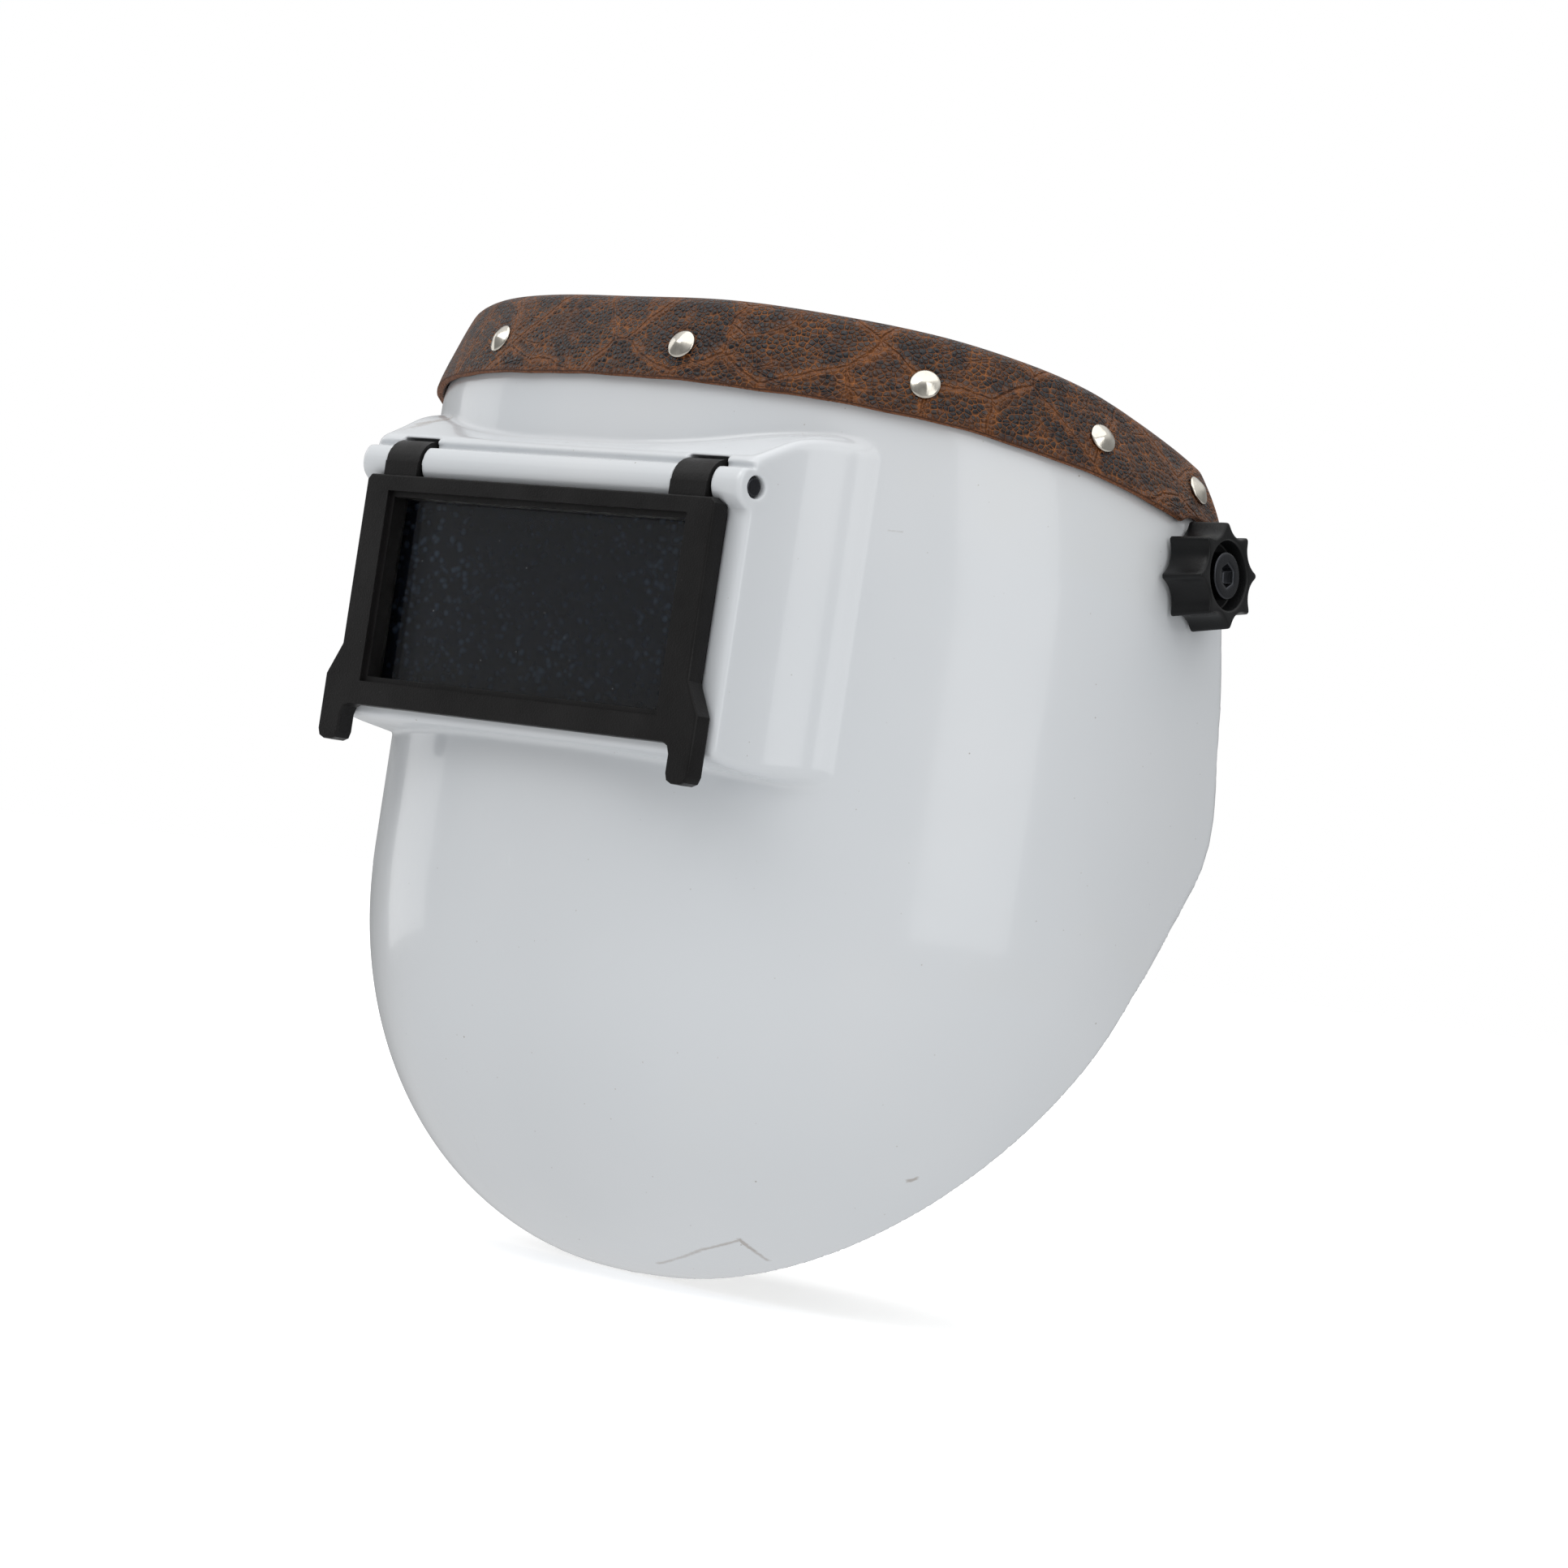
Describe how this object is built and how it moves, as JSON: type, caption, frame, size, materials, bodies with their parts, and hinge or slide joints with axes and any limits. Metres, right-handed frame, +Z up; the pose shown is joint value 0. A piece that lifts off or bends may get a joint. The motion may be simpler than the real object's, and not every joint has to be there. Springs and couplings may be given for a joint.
{
  "type": "welding helmet",
  "caption": "Welding helmet with open crown: rigid face shell with leather rim, hinged lift front holding a dark filter plate, side tension knobs and an adjustable headgear.",
  "frame": {"origin": "middle of the tilt axis between the two side knobs, at the middle of the wearer's head", "axes": "+Z up, -Y the way the wearer looks, +X the wearer's left; the window is vertical"},
  "size_m": [0.2338, 0.1346, 0.2212],
  "materials": {
    "shell_white": "glossy white glass-fibre laminate",
    "crown_leather": "embossed grain, raw cut edge",
    "black_plastic": "fine-grained moulding",
    "clear_plate": "clear, polished",
    "dark_filter": "very dark, polished",
    "black_rubber": "matt",
    "spring_steel": "bright",
    "dark_steel": "black oxide",
    "bright_steel": "zinc plated",
    "nickel": "polished nickel",
    "knob_plastic": "satin moulding",
    "headgear_plastic": "satin moulding",
    "fibre": "pressed fibre",
    "pad_cloth": "knitted cover over foam"
  },
  "bodies": {
    "headgear": {"forehead_band": "headgear_plastic", "sweatband": "pad_cloth", "side_arm_L": "headgear_plastic", "side_arm_R": "headgear_plastic", "arm_rivet_L1": "bright_steel", "arm_rivet_L2": "bright_steel", "arm_rivet_R1": "bright_steel", "arm_rivet_R2": "bright_steel", "rear_hinge_pin_L": "bright_steel", "rear_hinge_pin_R": "bright_steel"},
    "helmet": {"shell": "shell_white", "leather_band": "crown_leather", "crown_rivet_L1": "nickel", "crown_rivet_L2": "nickel", "crown_rivet_L3": "nickel", "crown_rivet_L4": "nickel", "crown_rivet_R1": "nickel", "crown_rivet_R2": "nickel", "crown_rivet_R3": "nickel", "crown_rivet_R4": "nickel", "hinge_pin": "dark_steel", "window_gasket": "black_rubber", "safety_plate": "clear_plate", "plate_retainer": "black_plastic", "retainer_screw_1": "bright_steel", "retainer_screw_2": "bright_steel", "retainer_screw_3": "bright_steel", "retainer_screw_4": "bright_steel", "knob_washer_L": "black_plastic", "friction_washer_L": "fibre", "inner_washer_L": "bright_steel", "lock_nut_L": "bright_steel", "knob_washer_R": "black_plastic", "friction_washer_R": "fibre", "inner_washer_R": "bright_steel", "lock_nut_R": "bright_steel"},
    "front": {"lift_front": "black_plastic", "cover_lens": "clear_plate", "lens_gasket": "black_rubber", "filter_lens": "dark_filter", "lens_spring": "spring_steel"},
    "knob_left": {"tension_knob_L": "knob_plastic", "knob_screw_L": "dark_steel"},
    "knob_right": {"tension_knob_R": "knob_plastic", "knob_screw_R": "dark_steel"},
    "rear_band": {"rear_strap_L": "headgear_plastic", "rear_strap_R": "headgear_plastic", "ratchet_housing": "headgear_plastic", "nape_pad": "pad_cloth"},
    "ratchet": {"ratchet_knob": "knob_plastic", "ratchet_pinion": "headgear_plastic"}
  },
  "joints": [
    {"name": "helmet_tilt", "type": "hinge", "parent": "headgear", "child": "helmet", "pos_m": [0, 0, 0], "axis": [-1, 0, 0], "range_deg": [0, 75]},
    {"name": "lift_front_hinge", "type": "hinge", "parent": "helmet", "child": "front", "pos_m": [0, -0.09638, 0.00295], "axis": [-1, 0, 0], "range_deg": [0, 95]},
    {"name": "left_knob_turn", "type": "hinge", "parent": "helmet", "child": "knob_left", "pos_m": [0.1046, 0.00112, 0.00085], "axis": [0.9848, 0.1384, 0.1045], "continuous": true},
    {"name": "right_knob_turn", "type": "hinge", "parent": "helmet", "child": "knob_right", "pos_m": [-0.1046, 0.00112, 0.00085], "axis": [-0.9848, 0.1384, 0.1045], "continuous": true},
    {"name": "rear_band_swing", "type": "hinge", "parent": "headgear", "child": "rear_band", "pos_m": [0, 0.01482, 0], "axis": [1, 0, 0], "range_deg": [-15, 95]},
    {"name": "ratchet_turn", "type": "hinge", "parent": "rear_band", "child": "ratchet", "pos_m": [0, 0.01482, -0.118], "axis": [0, 0, -1], "continuous": true}
  ]
}
